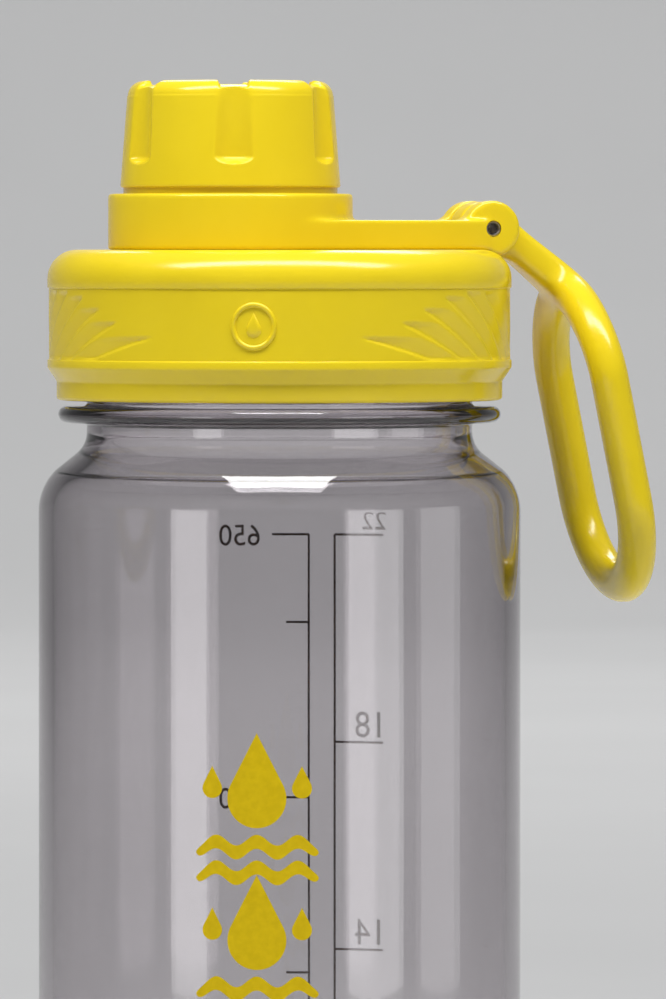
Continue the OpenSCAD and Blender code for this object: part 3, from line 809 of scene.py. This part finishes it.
def make_loop():
    """The carry loop: an oval bar in a ring, its neck and its knuckle, moulded as one."""
    rings, count, sides = [], 180, 36
    coarse_voxel, fine_voxel, fillet_r = 0.4, 0.34, 2.2
    outward = np.array([math.cos(LOOP_SLOPE), 0, math.sin(LOOP_SLOPE)])
    for i in range(count):
        turn = 2 * math.pi * i / count
        along = loop_point((turn + 0.02) % (2 * math.pi)) - loop_point((turn - 0.02) % (2 * math.pi))
        across = np.cross(along / np.linalg.norm(along), outward)
        rings.append(np.array([loop_point(turn) + BAR_T / 2 * math.cos(a) * outward
                               + BAR_W / 2 * math.sin(a) * across
                               for a in np.linspace(0, 2 * math.pi, sides, endpoint=False)]))
    obj = solid(loft(rings, closed=True))

    def along_neck(points):
        """Turns points of the neck's own frame down to its slope."""
        c, s = math.cos(NECK_ANGLE), math.sin(NECK_ANGLE)
        return np.array([(x * c + z * s, y, -x * s + z * c) for x, y, z in points])

    neck = []
    for x in np.linspace(0, NECK_LENGTH, 36):
        over = NECK_OVER + NECK_RISE * smooth_step((x - 4) / 12)
        middle, half_t = (over - NECK_UNDER) / 2, (over + NECK_UNDER) / 2
        half_w = KNUCKLE_HALF_W + NECK_FLARE * smooth_step((x - 5) / 12)
        power = 0.32 + 0.2 * smooth_step((x - 5) / 10)
        neck.append(along_neck([
            (x, half_w * math.copysign(abs(math.cos(a)) ** power, math.cos(a)),
             middle + half_t * math.copysign(abs(math.sin(a)) ** power, math.sin(a)))
            for a in np.linspace(0, 2 * math.pi, 48, endpoint=False)]))
    plan = ((0, -2.2), (5.5, -2.2), (5.5, 2.2), (0, 2.2))
    stop = along_neck([(x, y, z) for z in (-1.7, 1) for x, y in plan])
    knuckle = cylinder(KNUCKLE_R, -KNUCKLE_HALF_W, KNUCKLE_HALF_W, axes="xzy")
    combine(obj, [loft(neck), knuckle, loft([stop[:4], stop[4:]])], "UNION")
    melt(obj, coarse_voxel, 2)
    fillet(obj, coarse_voxel, fillet_r)
    melt(obj, fine_voxel, 3)
    combine(obj, [cylinder(PIN_R + 0.05, -5, 5, axes="xzy", sides=48)], "DIFFERENCE")
    obj.data.transform(Matrix.Translation(HINGE))
    piece(obj, "loop_handle", "loop", YELLOW, ["carry_loop"], sharp=55)


# ---------------------------------------------------------------- cap
def make_cap():
    """The small screw cap with its finger scallops."""
    count, scallop_r, depth, foot_z, foot_h, phase = 6, 3.4, 0.8, 243.9, 1.3, 16.6
    reach = CAP_TOP_R - depth + scallop_r
    step = 2 * math.pi / count

    def off_scallop(angle):
        """The angle from the middle of the nearest scallop."""
        return (angle - math.radians(phase) + step / 2) % step - step / 2

    def scallops(angle, radius, level):
        """Upright troughs with a rounded foot and eased sides."""
        off = off_scallop(angle)
        drop = np.clip((foot_z + foot_h - level) / foot_h, 0, 1)
        inside = scallop_r ** 2 * (1 - drop ** 2) - (reach * np.sin(off)) ** 2
        cut = np.where(inside > 0, reach * np.cos(off) - np.sqrt(np.clip(inside, 0, None)), 1e3)
        ease = 0.3
        gap = np.clip((radius - cut) / ease, -40, 40)
        outer = (radius > CAP_TOP_R - 4) & (level > CAP_BOTTOM_Z + 0.5)
        return np.where(outer & (cut < 900), radius - ease * np.log1p(np.exp(gap)), radius)

    def notches(angle, radius, level):
        """Gaps in the top's rim, one over each scallop."""
        aside = np.abs(radius * np.sin(off_scallop(angle)))
        across = smooth_step((notch_half_w + 0.25 - aside) / 0.5)
        out = np.clip(radius - rim_in_r, 0, None)
        floor = CAP_TOP_Z - notch_depth - 0.12 * out ** 2
        rim = (radius > rim_in_r - 1.2) & (level > CAP_TOP_Z - 2.2)
        return np.where(rim & (level > floor), level + (floor - level) * across, level)

    foot_r, in_r, ceiling = 16.2, 13.2, 254.8
    rim_in_r, recess, notch_half_w, notch_depth = 12.8, 0.8, 2.2, 0.65
    edge_r = 2.4
    outline = (
        [(in_r, CAP_FOOT_Z + 0.2), (in_r + 0.2, CAP_FOOT_Z), (foot_r - 0.2, CAP_FOOT_Z),
         (foot_r, CAP_FOOT_Z + 0.2), (foot_r, CAP_BOTTOM_Z)]
        + arc((CAP_R - 0.3, CAP_BOTTOM_Z + 0.3), 0.3, -90, 5, 4)
        + line((CAP_R - 0.05, CAP_BOTTOM_Z + 0.8), (CAP_TOP_R + 0.16, CAP_TOP_Z - edge_r + 0.1), 0.16)
        + arc((CAP_TOP_R - edge_r + 0.1, CAP_TOP_Z - edge_r), edge_r, 5, 90, 20)
        + arc((rim_in_r + 0.3, CAP_TOP_Z - 0.3), 0.3, 90, 180, 4)
        + arc((rim_in_r - 0.4, CAP_TOP_Z - recess + 0.4), 0.4, 0, -90, 4)
        + line((rim_in_r - 0.8, CAP_TOP_Z - recess), (2, CAP_TOP_Z - recess), 1.5)
        + [(0, CAP_TOP_Z - recess), (0, ceiling), (in_r, ceiling)])
    obj = solid(revolve(outline, 600, scallops, SPOUT_X, notches))
    piece(obj, "cap_cover", "cap", YELLOW, ["cap_shell"], sharp=40)


make_camera()
make_stage()
make_body()
make_prints()
make_motif()
make_lid()
make_emblem()
make_arm()
make_pin()
make_loop()
make_cap()
make_lights()
finish_node("lid_liner", NATURAL)
finish_node("cap_liner", NATURAL)
finish_node("lid_gasket", SILICONE)
finish_node("cap_gasket", SILICONE)

view = bpy.context.scene.view_settings
view.view_transform = "Standard"
